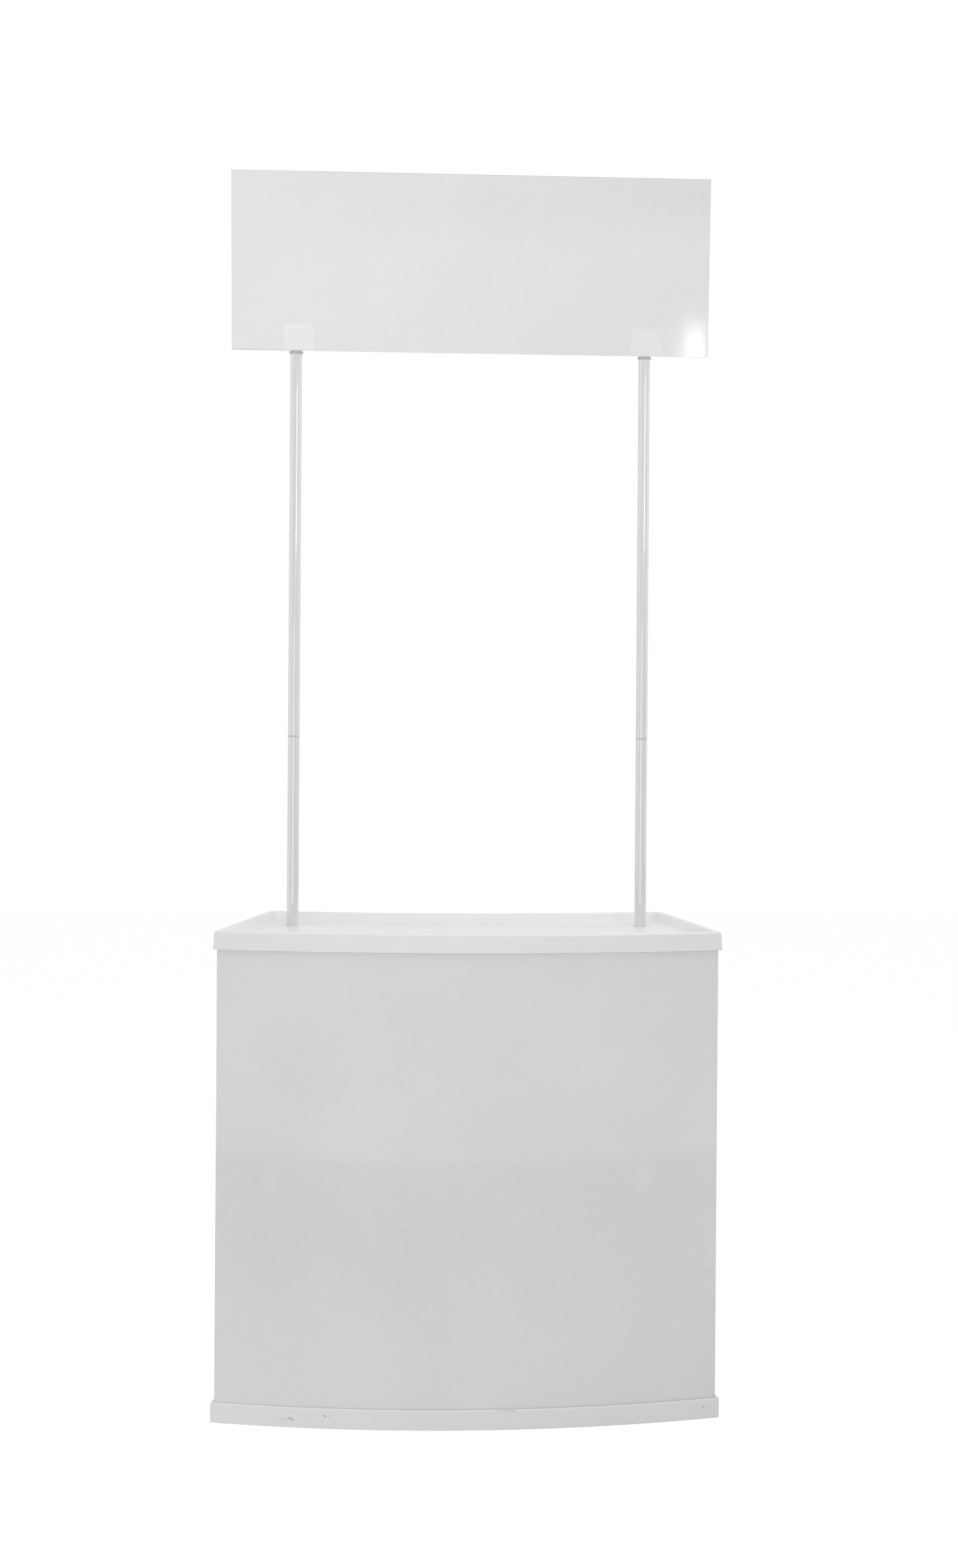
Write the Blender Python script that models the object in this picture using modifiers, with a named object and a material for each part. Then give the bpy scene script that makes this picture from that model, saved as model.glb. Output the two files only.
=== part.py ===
"""Exhibition counter: a fan-shaped white plastic counter with a wrap-round panel, a mid shelf,
four inner legs, two sectional poles and a header board.

Metres, +Z up. +X is the viewer's right, -Y faces the viewer, and the origin is on the floor under
the middle of the counter's box.
"""

import math

import bmesh
import bpy
from mathutils import Matrix, Vector

# Plan of the tabletop and the base, seen from above
FRONT_WIDTH = 0.815
REAR_WIDTH = 0.695
DEPTH = 0.420
FRONT_BULGE = 0.052
REAR_HOLLOW = 0.045

# Heights above the floor
TABLETOP_HEIGHT = 0.782
SHELF_HEIGHT = 0.422
POLE_JOINT_HEIGHT = 1.090
POLE_TOP_HEIGHT = 1.7425

# Clearances
GAP = 0.0003
FIT = 0.0002
OVERRUN = 0.010

# Tabletop
TRAY_WALL = 0.003
APRON_HEIGHT = 0.0295
RIM_WIDTH = 0.016
TRAY_DEPTH = 0.0155
EDGE_ROUND = 0.0035
TRAY_FILLET = 0.010

# Base
BASE_HEIGHT = 0.0315
BASE_FLOOR = 0.004

# Wrap panel
PANEL_INSET = 0.005
PANEL_THICKNESS = 0.0015

# Mid shelf
SHELF_THICKNESS = 0.008
SHELF_CLEARANCE = 0.001

# Poles, legs and what joins them
POLE_RADIUS = 0.010
POLE_WALL = 0.0012
POLE_SIDE_INSET = 0.068
POLE_SETBACK = 0.115
FRONT_LEG_INSET = 0.1075
COUPLER_SETBACK = 0.006
SOCKET_WALL = 0.0015
SOCKET_FLOOR = 0.003
COUPLER_HEIGHT = 0.045
BASE_SOCKET_HEIGHT = 0.030
TOP_SOCKET_HEIGHT = 0.014
GUIDE_WALL = 0.003
GUIDE_HEIGHT = 0.012
JOINER_LENGTH = 0.090
JOINER_RING = 0.0012
JOINER_BORE_RADIUS = 0.0065
PIECE_CHAMFER = 0.0006

# Header and its clips
HEADER_WIDTH = 0.814
HEADER_HEIGHT = 0.300
HEADER_THICKNESS = 0.003
HEADER_LEAN = math.radians(5.5)
HEADER_SEAT = 0.0015
CLIP_PLATE_WIDTH = 0.052
CLIP_PLATE_HEIGHT = 0.042
CLIP_PLATE_THICKNESS = 0.003
CLIP_COLLAR_RADIUS = 0.0117
CLIP_COLLAR_HEIGHT = 0.0035
CLIP_PLUG_LENGTH = 0.035
CLIP_PLUG_BORE_RADIUS = 0.0065
TAPE_THICKNESS = 0.001
TAPE_MARGIN = 0.003

# How finely round shapes are divided
FRONT_ARC_STEPS = 24
REAR_ARC_STEPS = 12
TURN_STEPS = 24
ROUND_SEGMENTS = 3
ROUND_PROFILE = 0.5
WELD_DISTANCE = 1e-6
FLAT_ANGLE = math.radians(0.05)

# Places worked out from the sizes above
FRONT_EDGE_Y = -DEPTH / 2
REAR_CORNER_Y = DEPTH / 2
POLE_Y = REAR_CORNER_Y - POLE_SETBACK
FRONT_LEG_X = FRONT_WIDTH / 2 - FRONT_LEG_INSET
TRAY_FLOOR_TOP = TABLETOP_HEIGHT - TRAY_DEPTH
TRAY_FLOOR_UNDERSIDE = TRAY_FLOOR_TOP - TRAY_WALL
RIM_UNDERSIDE = TABLETOP_HEIGHT - TRAY_WALL
APRON_BOTTOM = TABLETOP_HEIGHT - APRON_HEIGHT
SHELF_UNDERSIDE = SHELF_HEIGHT - SHELF_THICKNESS
COUPLER_TOP = SHELF_UNDERSIDE - GAP
COUPLER_BOTTOM = COUPLER_TOP - COUPLER_HEIGHT
COUPLER_WEB_TOP = (COUPLER_TOP + COUPLER_BOTTOM + SOCKET_FLOOR) / 2
COUPLER_WEB_BOTTOM = COUPLER_WEB_TOP - SOCKET_FLOOR
BASE_SOCKET_BOTTOM = BASE_FLOOR + GAP
TOP_SOCKET_TOP = TRAY_FLOOR_UNDERSIDE - GAP
TUBE_BORE_RADIUS = POLE_RADIUS - POLE_WALL
PLUG_RADIUS = TUBE_BORE_RADIUS * math.cos(math.pi / TURN_STEPS) - FIT
SOCKET_BORE_RADIUS = (POLE_RADIUS + FIT) / math.cos(math.pi / TURN_STEPS)
SOCKET_RADIUS = SOCKET_BORE_RADIUS + SOCKET_WALL
CLIP_COLLAR_TOP = POLE_TOP_HEIGHT + GAP + CLIP_COLLAR_HEIGHT


class Plan:
    """The fan-shaped plan: an arc in front, straight sides that close in, and a hollow arc behind."""

    def __init__(self):
        self.front_corner = Vector((FRONT_WIDTH / 2, FRONT_EDGE_Y + FRONT_BULGE))
        self.rear_corner = Vector((REAR_WIDTH / 2, REAR_CORNER_Y))
        self.side = (self.rear_corner - self.front_corner).normalized()
        self.inward = Vector((-self.side.y, self.side.x))
        self.front_radius = self.radius_of(FRONT_WIDTH / 2, FRONT_BULGE)
        self.rear_radius = self.radius_of(REAR_WIDTH / 2, REAR_HOLLOW)
        self.front_centre_y = FRONT_EDGE_Y + self.front_radius
        self.rear_centre_y = REAR_CORNER_Y - REAR_HOLLOW + self.rear_radius

    @staticmethod
    def radius_of(half_chord, rise):
        """Radius of the arc that rises this far over a chord."""
        return (half_chord**2 + rise**2) / (2 * rise)

    def side_meets(self, inset, centre_y, radius):
        """Where the right side, moved in by inset, meets the near half of a circle on the Y axis."""
        start = self.front_corner + self.inward * inset
        offset = start - Vector((0, centre_y))
        along = offset.dot(self.side)
        reach = math.sqrt(along**2 - offset.length_squared + radius**2)
        meetings = [start + self.side * (-along + turn * reach) for turn in (-1, 1)]
        near = [point for point in meetings if point.y < centre_y]
        return min(near, key=lambda point: (point - start).length)

    @staticmethod
    def arc(end, centre_y, radius, steps):
        """Points from the mirror image of end, round the near half of the circle, to end."""
        half_angle = math.atan2(end.x, centre_y - end.y)
        angles = (half_angle * (2 * step / steps - 1) for step in range(steps + 1))
        return [(radius * math.sin(angle), centre_y - radius * math.cos(angle)) for angle in angles]

    def front_arc(self, inset):
        radius = self.front_radius - inset
        end = self.side_meets(inset, self.front_centre_y, radius)
        return self.arc(end, self.front_centre_y, radius, FRONT_ARC_STEPS)

    def rear_arc(self, side_inset, rear_inset):
        radius = self.rear_radius + rear_inset
        end = self.side_meets(side_inset, self.rear_centre_y, radius)
        return self.arc(end, self.rear_centre_y, radius, REAR_ARC_STEPS)

    def outline(self, inset):
        """The closed plan, moved in by inset all round."""
        return self.front_arc(inset) + self.rear_arc(inset, inset)[::-1]

    def wrap(self, inset):
        """The open path of the wrap panel: left side, front arc, right side."""
        rear = self.rear_arc(inset, inset)
        return [rear[0]] + self.front_arc(inset) + [rear[-1]]

    def pole_x(self):
        """Keeps the poles at their inset from the counter's sides, measured level with them."""
        share = (POLE_Y - self.front_corner.y) / (self.rear_corner.y - self.front_corner.y)
        return self.front_corner.lerp(self.rear_corner, share).x - POLE_SIDE_INSET

    def front_leg_y(self):
        """Keeps the front couplers at their setback behind the wrap panel."""
        reach = self.front_radius - PANEL_INSET - PANEL_THICKNESS - COUPLER_SETBACK - SOCKET_RADIUS
        return self.front_centre_y - math.sqrt(reach**2 - FRONT_LEG_X**2)


PLAN = Plan()
SIDES = {"left": -1, "right": 1}


def clear_scene():
    for obj in list(bpy.data.objects):
        bpy.data.objects.remove(obj, do_unlink=True)


def new_collection(name, hidden):
    collection = bpy.data.collections.new(name)
    bpy.context.scene.collection.children.link(collection)
    collection.hide_render = hidden
    return collection


def new_material(name, colour, roughness, metallic=0.0):
    material = bpy.data.materials.new(name)
    material.use_nodes = True
    shader = material.node_tree.nodes["Principled BSDF"]
    shader.inputs["Base Color"].default_value = (*colour, 1.0)
    shader.inputs["Roughness"].default_value = roughness
    shader.inputs["Metallic"].default_value = metallic
    return material


def object_of(name, mesh, place=(0, 0, 0)):
    obj = bpy.data.objects.new(name, mesh)
    obj.location = place
    return obj


def prism(name, outline, low, high):
    """A closed outline, filled and drawn up from one height to another."""
    curve = bpy.data.curves.new(name, "CURVE")
    curve.dimensions = "2D"
    curve.fill_mode = "BOTH"
    curve.extrude = (high - low) / 2
    spline = curve.splines.new("POLY")
    spline.points.add(len(outline) - 1)
    for point, (x, y) in zip(spline.points, outline):
        point.co = (x, y, 0, 1)
    spline.use_cyclic_u = True
    return curve_to_mesh(curve, (low + high) / 2)


def ribbon(name, path, low, high):
    """An open path drawn up into an upright surface."""
    curve = bpy.data.curves.new(name, "CURVE")
    curve.dimensions = "3D"
    curve.extrude = (high - low) / 2
    spline = curve.splines.new("POLY")
    spline.points.add(len(path) - 1)
    for point, (x, y) in zip(spline.points, path):
        point.co = (x, y, 0, 1)
    return curve_to_mesh(curve, (low + high) / 2)


def curve_to_mesh(curve, height):
    """Makes the curve a mesh, with its caps welded and their flat faces joined."""
    guide = object_of(curve.name + "_guide", curve, (0, 0, height))
    bpy.context.scene.collection.objects.link(guide)
    graph = bpy.context.evaluated_depsgraph_get()
    mesh = bpy.data.meshes.new_from_object(guide.evaluated_get(graph))
    mesh.name = curve.name
    shape = bmesh.new()
    shape.from_mesh(mesh)
    bmesh.ops.remove_doubles(shape, verts=shape.verts, dist=WELD_DISTANCE)
    bmesh.ops.dissolve_limit(shape, angle_limit=FLAT_ANGLE, verts=shape.verts, edges=shape.edges)
    shape.to_mesh(mesh)
    shape.free()
    obj = object_of(curve.name, mesh)
    obj.matrix_world = guide.matrix_world.copy()
    bpy.data.objects.remove(guide, do_unlink=True)
    return obj


def round_level_edges(obj, radius, top):
    """Rounds the edges round the top or the bottom face of an upright prism."""
    shape = bmesh.new()
    shape.from_mesh(obj.data)
    heights = [vert.co.z for vert in shape.verts]
    level = max(heights) if top else min(heights)
    edges = [edge for edge in shape.edges
             if all(abs(vert.co.z - level) < WELD_DISTANCE for vert in edge.verts)]
    bmesh.ops.bevel(shape, geom=edges, offset=radius, segments=ROUND_SEGMENTS,
                    profile=ROUND_PROFILE, affect="EDGES")
    shape.to_mesh(obj.data)
    shape.free()


def block(name, size, centre, place):
    """A box of this size about a centre in the object's own frame."""
    shape = bmesh.new()
    bmesh.ops.create_cube(shape, size=1.0,
                          matrix=Matrix.Translation(centre) @ Matrix.Diagonal((*size, 1.0)))
    mesh = bpy.data.meshes.new(name)
    shape.to_mesh(mesh)
    shape.free()
    return object_of(name, mesh, place)


def turned(name, profile, place, closed=True):
    """A profile of (radius, height) points turned about a vertical axis through place."""
    shape = bmesh.new()
    verts = [shape.verts.new((radius, 0, height)) for radius, height in profile]
    pairs = list(zip(verts, verts[1:]))
    if closed:
        pairs.append((verts[-1], verts[0]))
    for pair in pairs:
        shape.edges.new(pair)
    mesh = bpy.data.meshes.new(name)
    shape.to_mesh(mesh)
    shape.free()
    obj = object_of(name, mesh, place)
    screw = obj.modifiers.new("turn", "SCREW")
    screw.axis = "Z"
    screw.angle = 2 * math.pi
    screw.steps = TURN_STEPS
    screw.render_steps = TURN_STEPS
    screw.use_merge_vertices = True
    screw.merge_threshold = WELD_DISTANCE
    screw.use_smooth_shade = False
    return obj


def tube(name, low, high, place_xy):
    """A length of the pole tube between two heights."""
    length = high - low
    profile = [(POLE_RADIUS, length), (POLE_RADIUS, 0), (TUBE_BORE_RADIUS, 0), (TUBE_BORE_RADIUS, length)]
    return turned(name, profile, (*place_xy, low))


def hole_cutter(name, radius, low, high, place_xy):
    """A round cutter that reaches past both faces."""
    profile = [(0, high + OVERRUN), (radius, high + OVERRUN), (radius, low - OVERRUN), (0, low - OVERRUN)]
    return turned(name, profile, (*place_xy, 0), closed=False)


class Counter:
    """Collects the counter's pieces, their materials and the empties that carry what lifts off."""

    def __init__(self):
        self.pieces = new_collection("exhibition_counter", hidden=False)
        self.cutters = new_collection("cutters", hidden=True)
        self.carriers = {}

    def carrier(self, name, height):
        """An empty on the lift axis, for the pieces that come off together."""
        empty = bpy.data.objects.new(name, None)
        empty.location = (0, POLE_Y, height)
        self.pieces.objects.link(empty)
        self.carriers[name] = empty

    def add(self, obj, material, carrier=None):
        obj.data.materials.append(material)
        self.pieces.objects.link(obj)
        if carrier:
            empty = self.carriers[carrier]
            obj.parent = empty
            obj.matrix_parent_inverse = Matrix.Translation(-empty.location)

    def combine(self, obj, other, operation):
        """Cuts other from obj, or joins it on."""
        other.hide_render = True
        other.display_type = "WIRE"
        self.cutters.objects.link(other)
        boolean = obj.modifiers.new(other.name, "BOOLEAN")
        boolean.operation = operation
        boolean.solver = "EXACT"
        boolean.object = other

    def cut(self, obj, cutter):
        self.combine(obj, cutter, "DIFFERENCE")

    def join(self, obj, other):
        self.combine(obj, other, "UNION")


def front_leg_places():
    leg_y = PLAN.front_leg_y()
    return {side: (sign * FRONT_LEG_X, leg_y) for side, sign in SIDES.items()}


def pole_places():
    pole_x = PLAN.pole_x()
    return {side: (sign * pole_x, POLE_Y) for side, sign in SIDES.items()}


def leg_places():
    """The four uprights inside the counter, by corner name."""
    front = {f"front_{side}": place for side, place in front_leg_places().items()}
    rear = {f"rear_{side}": place for side, place in pole_places().items()}
    return front | rear


def add_base(counter, plastic):
    """The moulded base: a flat floor with an upright lip all round."""
    base = prism("base_tray", PLAN.outline(0), 0, BASE_HEIGHT)
    round_level_edges(base, EDGE_ROUND / 2, top=True)
    inside = prism("base_inside", PLAN.outline(TRAY_WALL), BASE_FLOOR, BASE_HEIGHT + OVERRUN)
    counter.add(base, plastic)
    counter.cut(base, inside)


def add_wrap_panel(counter, sheet):
    """One sheet folded round the two front corners; it stands in the base and ends under the rim."""
    panel = ribbon("wrap_panel", PLAN.wrap(PANEL_INSET + PANEL_THICKNESS / 2),
                   BASE_FLOOR + GAP, RIM_UNDERSIDE - GAP)
    solidify = panel.modifiers.new("thickness", "SOLIDIFY")
    solidify.thickness = PANEL_THICKNESS
    solidify.offset = 0
    solidify.use_even_offset = True
    counter.add(panel, sheet)


def add_shelf(counter, plastic):
    """The mid shelf, with a hole for each upright."""
    inset = PANEL_INSET + PANEL_THICKNESS + SHELF_CLEARANCE
    shelf = prism("mid_shelf", PLAN.outline(inset), SHELF_UNDERSIDE, SHELF_HEIGHT)
    round_level_edges(shelf, EDGE_ROUND / 2, top=True)
    counter.add(shelf, plastic)
    for corner, place in leg_places().items():
        counter.cut(shelf, hole_cutter(f"shelf_hole_{corner}", SOCKET_BORE_RADIUS, SHELF_UNDERSIDE,
                                       SHELF_HEIGHT, place))


def add_legs(counter, socket_plastic, tube_finish):
    """Under the shelf, four legs stand in base sockets and carry the shelf's couplers."""
    cup = [
        (0, SOCKET_FLOOR),
        (SOCKET_BORE_RADIUS, SOCKET_FLOOR),
        (SOCKET_BORE_RADIUS, BASE_SOCKET_HEIGHT),
        (SOCKET_RADIUS - PIECE_CHAMFER, BASE_SOCKET_HEIGHT),
        (SOCKET_RADIUS, BASE_SOCKET_HEIGHT - PIECE_CHAMFER),
        (SOCKET_RADIUS, 0),
        (0, 0),
    ]
    leg_bottom = BASE_SOCKET_BOTTOM + SOCKET_FLOOR + GAP
    for corner, place in leg_places().items():
        socket = turned(f"base_socket_{corner}", cup, (*place, BASE_SOCKET_BOTTOM), closed=False)
        counter.add(socket, socket_plastic)
        counter.add(tube(f"lower_leg_{corner}", leg_bottom, COUPLER_WEB_BOTTOM - GAP, place), tube_finish)
        counter.add(shelf_coupler(f"shelf_coupler_{corner}", place), socket_plastic)


def shelf_coupler(name, place):
    """A short sleeve under the shelf, closed half way up, that takes a tube from each end."""
    sleeve = [
        (0, COUPLER_WEB_TOP),
        (SOCKET_BORE_RADIUS, COUPLER_WEB_TOP),
        (SOCKET_BORE_RADIUS, COUPLER_TOP),
        (SOCKET_RADIUS - PIECE_CHAMFER, COUPLER_TOP),
        (SOCKET_RADIUS, COUPLER_TOP - PIECE_CHAMFER),
        (SOCKET_RADIUS, COUPLER_BOTTOM + PIECE_CHAMFER),
        (SOCKET_RADIUS - PIECE_CHAMFER, COUPLER_BOTTOM),
        (SOCKET_BORE_RADIUS, COUPLER_BOTTOM),
        (SOCKET_BORE_RADIUS, COUPLER_WEB_BOTTOM),
        (0, COUPLER_WEB_BOTTOM),
    ]
    profile = [(radius, height - COUPLER_BOTTOM) for radius, height in sleeve]
    return turned(name, profile, (*place, COUPLER_BOTTOM), closed=False)


def add_upper_front_legs(counter, tube_finish):
    """Above the shelf, two front legs carry the tabletop."""
    for side, place in front_leg_places().items():
        top = TOP_SOCKET_TOP - SOCKET_FLOOR - GAP
        counter.add(tube(f"upper_leg_front_{side}", COUPLER_WEB_TOP + GAP, top, place), tube_finish)


def add_tabletop(counter, plastic):
    """The moulded tabletop: a sunk tray, a hollow rim round it and an apron outside."""
    top = prism("tabletop_tray", PLAN.outline(0), APRON_BOTTOM, TABLETOP_HEIGHT)
    round_level_edges(top, EDGE_ROUND, top=True)
    tray = prism("tray_hollow", PLAN.outline(RIM_WIDTH), TRAY_FLOOR_TOP, TABLETOP_HEIGHT + OVERRUN)
    round_level_edges(tray, TRAY_FILLET, top=False)
    below = prism("tabletop_underside", PLAN.outline(TRAY_WALL), APRON_BOTTOM - OVERRUN, RIM_UNDERSIDE)
    tray_body = prism("tray_body", PLAN.outline(RIM_WIDTH - TRAY_WALL), TRAY_FLOOR_UNDERSIDE,
                      TABLETOP_HEIGHT + OVERRUN)
    round_level_edges(tray_body, TRAY_FILLET, top=False)
    counter.add(top, plastic, "tabletop_lift")
    counter.cut(below, tray_body)
    counter.cut(top, tray)
    counter.cut(top, below)
    for side, place in pole_places().items():
        counter.cut(top, hole_cutter(f"tabletop_hole_{side}", SOCKET_BORE_RADIUS, TRAY_FLOOR_UNDERSIDE,
                                     TRAY_FLOOR_TOP, place))


def add_tabletop_sockets(counter, socket_plastic):
    """Under the tray, cups for the front legs and guide rings for the poles."""
    cup = [
        (0, 0),
        (SOCKET_RADIUS, 0),
        (SOCKET_RADIUS, PIECE_CHAMFER - TOP_SOCKET_HEIGHT),
        (SOCKET_RADIUS - PIECE_CHAMFER, -TOP_SOCKET_HEIGHT),
        (SOCKET_BORE_RADIUS, -TOP_SOCKET_HEIGHT),
        (SOCKET_BORE_RADIUS, -SOCKET_FLOOR),
        (0, -SOCKET_FLOOR),
    ]
    guide_radius = SOCKET_BORE_RADIUS + GUIDE_WALL
    guide = [
        (guide_radius, 0),
        (guide_radius, PIECE_CHAMFER - GUIDE_HEIGHT),
        (guide_radius - PIECE_CHAMFER, -GUIDE_HEIGHT),
        (SOCKET_BORE_RADIUS, -GUIDE_HEIGHT),
        (SOCKET_BORE_RADIUS, 0),
    ]
    for side, place in front_leg_places().items():
        socket = turned(f"tabletop_socket_{side}", cup, (*place, TOP_SOCKET_TOP), closed=False)
        counter.add(socket, socket_plastic, "tabletop_lift")
    for side, place in pole_places().items():
        ring = turned(f"pole_guide_{side}", guide, (*place, TOP_SOCKET_TOP))
        counter.add(ring, socket_plastic, "tabletop_lift")


def add_poles(counter, tube_finish, socket_plastic):
    """Each pole has two sections on a joiner, whose ring shows between them."""
    ring_bottom = POLE_JOINT_HEIGHT - JOINER_RING / 2
    ring_top = POLE_JOINT_HEIGHT + JOINER_RING / 2
    half_length = JOINER_LENGTH / 2
    half_ring = JOINER_RING / 2
    joiner = [
        (PLUG_RADIUS - PIECE_CHAMFER, half_length),
        (PLUG_RADIUS, half_length - PIECE_CHAMFER),
        (PLUG_RADIUS, half_ring),
        (POLE_RADIUS, half_ring),
        (POLE_RADIUS, -half_ring),
        (PLUG_RADIUS, -half_ring),
        (PLUG_RADIUS, PIECE_CHAMFER - half_length),
        (PLUG_RADIUS - PIECE_CHAMFER, -half_length),
        (JOINER_BORE_RADIUS, -half_length),
        (JOINER_BORE_RADIUS, half_length),
    ]
    for side, place in pole_places().items():
        lower = tube(f"lower_pole_{side}", COUPLER_WEB_TOP + GAP, ring_bottom - GAP, place)
        upper = tube(f"upper_pole_{side}", ring_top + GAP, POLE_TOP_HEIGHT, place)
        counter.add(lower, tube_finish, "lower_pole_lift")
        counter.add(turned(f"pole_joiner_{side}", joiner, (*place, POLE_JOINT_HEIGHT)), socket_plastic,
                    "lower_pole_lift")
        counter.add(upper, tube_finish, "upper_pole_lift")


def add_header(counter, plastic, clip_plastic, tape):
    """The header board leans forward on two plates, whose plugs sit in the pole tops."""
    plug_bottom = -CLIP_COLLAR_HEIGHT - CLIP_PLUG_LENGTH
    plug = [
        (0, 0),
        (CLIP_COLLAR_RADIUS, 0),
        (CLIP_COLLAR_RADIUS, PIECE_CHAMFER - CLIP_COLLAR_HEIGHT),
        (CLIP_COLLAR_RADIUS - PIECE_CHAMFER, -CLIP_COLLAR_HEIGHT),
        (PLUG_RADIUS, -CLIP_COLLAR_HEIGHT),
        (PLUG_RADIUS, plug_bottom + PIECE_CHAMFER),
        (PLUG_RADIUS - PIECE_CHAMFER, plug_bottom),
        (CLIP_PLUG_BORE_RADIUS, plug_bottom),
        (CLIP_PLUG_BORE_RADIUS, -CLIP_COLLAR_HEIGHT),
        (0, -CLIP_COLLAR_HEIGHT),
    ]
    root = CLIP_COLLAR_HEIGHT / 2
    plate_size = (CLIP_PLATE_WIDTH, CLIP_PLATE_THICKNESS, CLIP_PLATE_HEIGHT + root)
    plate_centre = (0, 0, (CLIP_PLATE_HEIGHT - root) / 2)
    tape_size = (CLIP_PLATE_WIDTH - 2 * TAPE_MARGIN, TAPE_THICKNESS, CLIP_PLATE_HEIGHT - 2 * TAPE_MARGIN)
    tape_y = -CLIP_PLATE_THICKNESS / 2 - GAP - TAPE_THICKNESS / 2
    for side, place in pole_places().items():
        hinge = (*place, CLIP_COLLAR_TOP)
        clip = turned(f"header_clip_{side}", plug, hinge, closed=False)
        plate = block(f"clip_plate_{side}", plate_size, plate_centre, hinge)
        plate.rotation_euler.x = HEADER_LEAN
        counter.add(clip, clip_plastic, "header_lift")
        counter.join(clip, plate)
        pad = block(f"header_tape_{side}", tape_size, (0, tape_y, CLIP_PLATE_HEIGHT / 2), hinge)
        pad.rotation_euler.x = HEADER_LEAN
        counter.add(pad, tape, "header_lift")
    board_y = tape_y - TAPE_THICKNESS / 2 - GAP - HEADER_THICKNESS / 2
    board = block("header_panel", (HEADER_WIDTH, HEADER_THICKNESS, HEADER_HEIGHT),
                  (0, board_y, HEADER_SEAT + HEADER_HEIGHT / 2), (0, POLE_Y, CLIP_COLLAR_TOP))
    board.rotation_euler.x = HEADER_LEAN
    counter.add(board, plastic, "header_lift")


def shade_round_pieces(pieces):
    for obj in pieces:
        if obj.type == "MESH" and "turn" in obj.modifiers:
            obj.modifiers["turn"].use_smooth_shade = True


def main():
    clear_scene()
    counter = Counter()
    counter.carrier("tabletop_lift", TABLETOP_HEIGHT)
    counter.carrier("lower_pole_lift", COUPLER_WEB_TOP)
    counter.carrier("upper_pole_lift", POLE_JOINT_HEIGHT)
    counter.carrier("header_lift", POLE_TOP_HEIGHT)

    moulded = new_material("moulded_white_plastic", (0.80, 0.80, 0.80), 0.35)
    sheet = new_material("translucent_white_sheet", (0.72, 0.72, 0.72), 0.45)
    socket = new_material("white_socket_plastic", (0.78, 0.78, 0.78), 0.40)
    enamel = new_material("white_enamelled_tube", (0.80, 0.80, 0.80), 0.25)
    gloss = new_material("gloss_white_board", (0.78, 0.78, 0.78), 0.20)
    tape = new_material("white_foam_tape", (0.85, 0.85, 0.85), 0.80)

    add_base(counter, moulded)
    add_wrap_panel(counter, sheet)
    add_shelf(counter, moulded)
    add_legs(counter, socket, enamel)
    add_upper_front_legs(counter, enamel)
    add_tabletop(counter, moulded)
    add_tabletop_sockets(counter, socket)
    add_poles(counter, enamel, socket)
    add_header(counter, gloss, socket, tape)
    shade_round_pieces(counter.pieces.objects)


main()
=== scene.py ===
"""Exhibition counter: the dressed model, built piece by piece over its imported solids.

Metres, +Z up. +X is the viewer's right, -Y faces the viewer, and the floor is at height zero.
"""

import functools
import logging
import math
from collections.abc import Callable
from dataclasses import dataclass
from enum import Enum
from typing import ClassVar, Union

import bmesh
import bpy
from bmesh.types import BMEdge, BMVert
from mathutils import Matrix, Vector


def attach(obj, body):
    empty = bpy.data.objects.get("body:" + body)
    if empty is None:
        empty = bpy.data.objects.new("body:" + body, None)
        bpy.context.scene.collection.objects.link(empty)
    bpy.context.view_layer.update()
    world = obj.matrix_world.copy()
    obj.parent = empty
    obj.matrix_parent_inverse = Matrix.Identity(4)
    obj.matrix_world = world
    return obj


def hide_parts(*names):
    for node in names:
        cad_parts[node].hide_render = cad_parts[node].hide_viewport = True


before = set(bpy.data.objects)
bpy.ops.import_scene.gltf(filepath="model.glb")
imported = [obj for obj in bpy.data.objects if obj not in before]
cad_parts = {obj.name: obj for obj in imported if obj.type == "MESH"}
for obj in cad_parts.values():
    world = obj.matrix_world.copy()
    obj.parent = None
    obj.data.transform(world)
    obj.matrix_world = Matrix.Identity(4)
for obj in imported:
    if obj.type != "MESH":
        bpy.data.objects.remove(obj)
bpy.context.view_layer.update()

LOG = logging.getLogger("exhibition_counter")
UP = Vector((0.0, 0.0, 1.0))
WELD = 1e-6
TOLERANCE = 1e-5
ROUND_PROFILE = 0.5
TURN_STEPS = 56
CREASE_ANGLE = math.radians(40.0)
FIT_GAP = 0.0003
FRONT_LIMIT = -0.12
FRONT_FADE = 0.01
DIRECT_RAYS = ("Camera", "Glossy", "Transmission")

Point = tuple[float, float]
Triple = tuple[float, float, float]
EVEN: Triple = (1.0, 1.0, 1.0)


class Body(Enum):
    """The parts of the counter that lift off as one."""

    BASE = "base"
    TABLETOP = "tabletop"
    LOWER_POLES = "lower_poles"
    UPPER_POLES = "upper_poles"
    HEADER = "header"


class Slot(Enum):
    """The material slots of the counter."""

    MOULDING = "moulded_plastic"
    SHEET = "sheet_plastic"
    SOCKET = "socket_plastic"
    TUBE = "enamelled_tube"
    BOARD = "header_board"
    TAPE = "foam_tape"


class Side(Enum):
    """The viewer's left and right, each with its sign of X."""

    LEFT = -1.0
    RIGHT = 1.0

    def __str__(self) -> str:
        """The word used in piece names."""
        return self.name.lower()


# Node arithmetic


def grey(level: float) -> tuple[float, float, float, float]:
    """An opaque grey."""
    return (level, level, level, 1.0)


def arithmetic(operation: str, number_first: bool = False) -> Callable:
    """Makes one of Signal's arithmetic methods.

    Args:
        operation: The Math node's operation.
        number_first: Whether the other term goes in first.

    Returns:
        The method.
    """
    def method(signal: "Signal", other: "Term" = 0.0) -> "Signal":
        """Adds the Math node."""
        terms = (other, signal) if number_first else (signal, other)
        return signal.graph.node("ShaderNodeMath", {"operation": operation}, dict(enumerate(terms)))

    return method


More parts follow.
